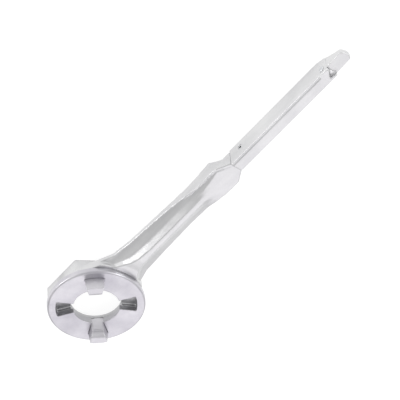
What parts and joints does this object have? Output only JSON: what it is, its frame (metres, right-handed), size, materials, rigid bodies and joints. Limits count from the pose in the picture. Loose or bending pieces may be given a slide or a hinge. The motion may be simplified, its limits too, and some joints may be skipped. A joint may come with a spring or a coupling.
{
  "type": "ring-head spanner wrench",
  "caption": "Long-handled cast wrench with a hexagonal ring head, fan-shaped windows, upright drive dogs, a ribbed arm and a pry tip.",
  "frame": {"origin": "on the common axis of back recess and drive bore, in the plane of the rim of the head's back", "axes": "+Z along the drive bore, from the flat back to the dogs; +X along the handle, from the bore to the pry tip"},
  "size_m": [0.358, 0.08, 0.0295],
  "materials": {
    "cast_aluminium": "satin, as cast and tumbled",
    "machined_aluminium": "satin, machined",
    "bright_steel": "bright zinc"
  },
  "bodies": {
    "root": {"cast_head_and_arm": "cast_aluminium", "drive_collar": "machined_aluminium", "drive_dog_near_arm": "machined_aluminium", "drive_dog_far_side": "machined_aluminium", "collar_screws": "bright_steel", "dog_screws": "bright_steel", "handle_bar": "cast_aluminium", "neck_pin": "bright_steel", "pry_tip": "cast_aluminium", "tip_rivet": "bright_steel"}
  },
  "joints": []
}
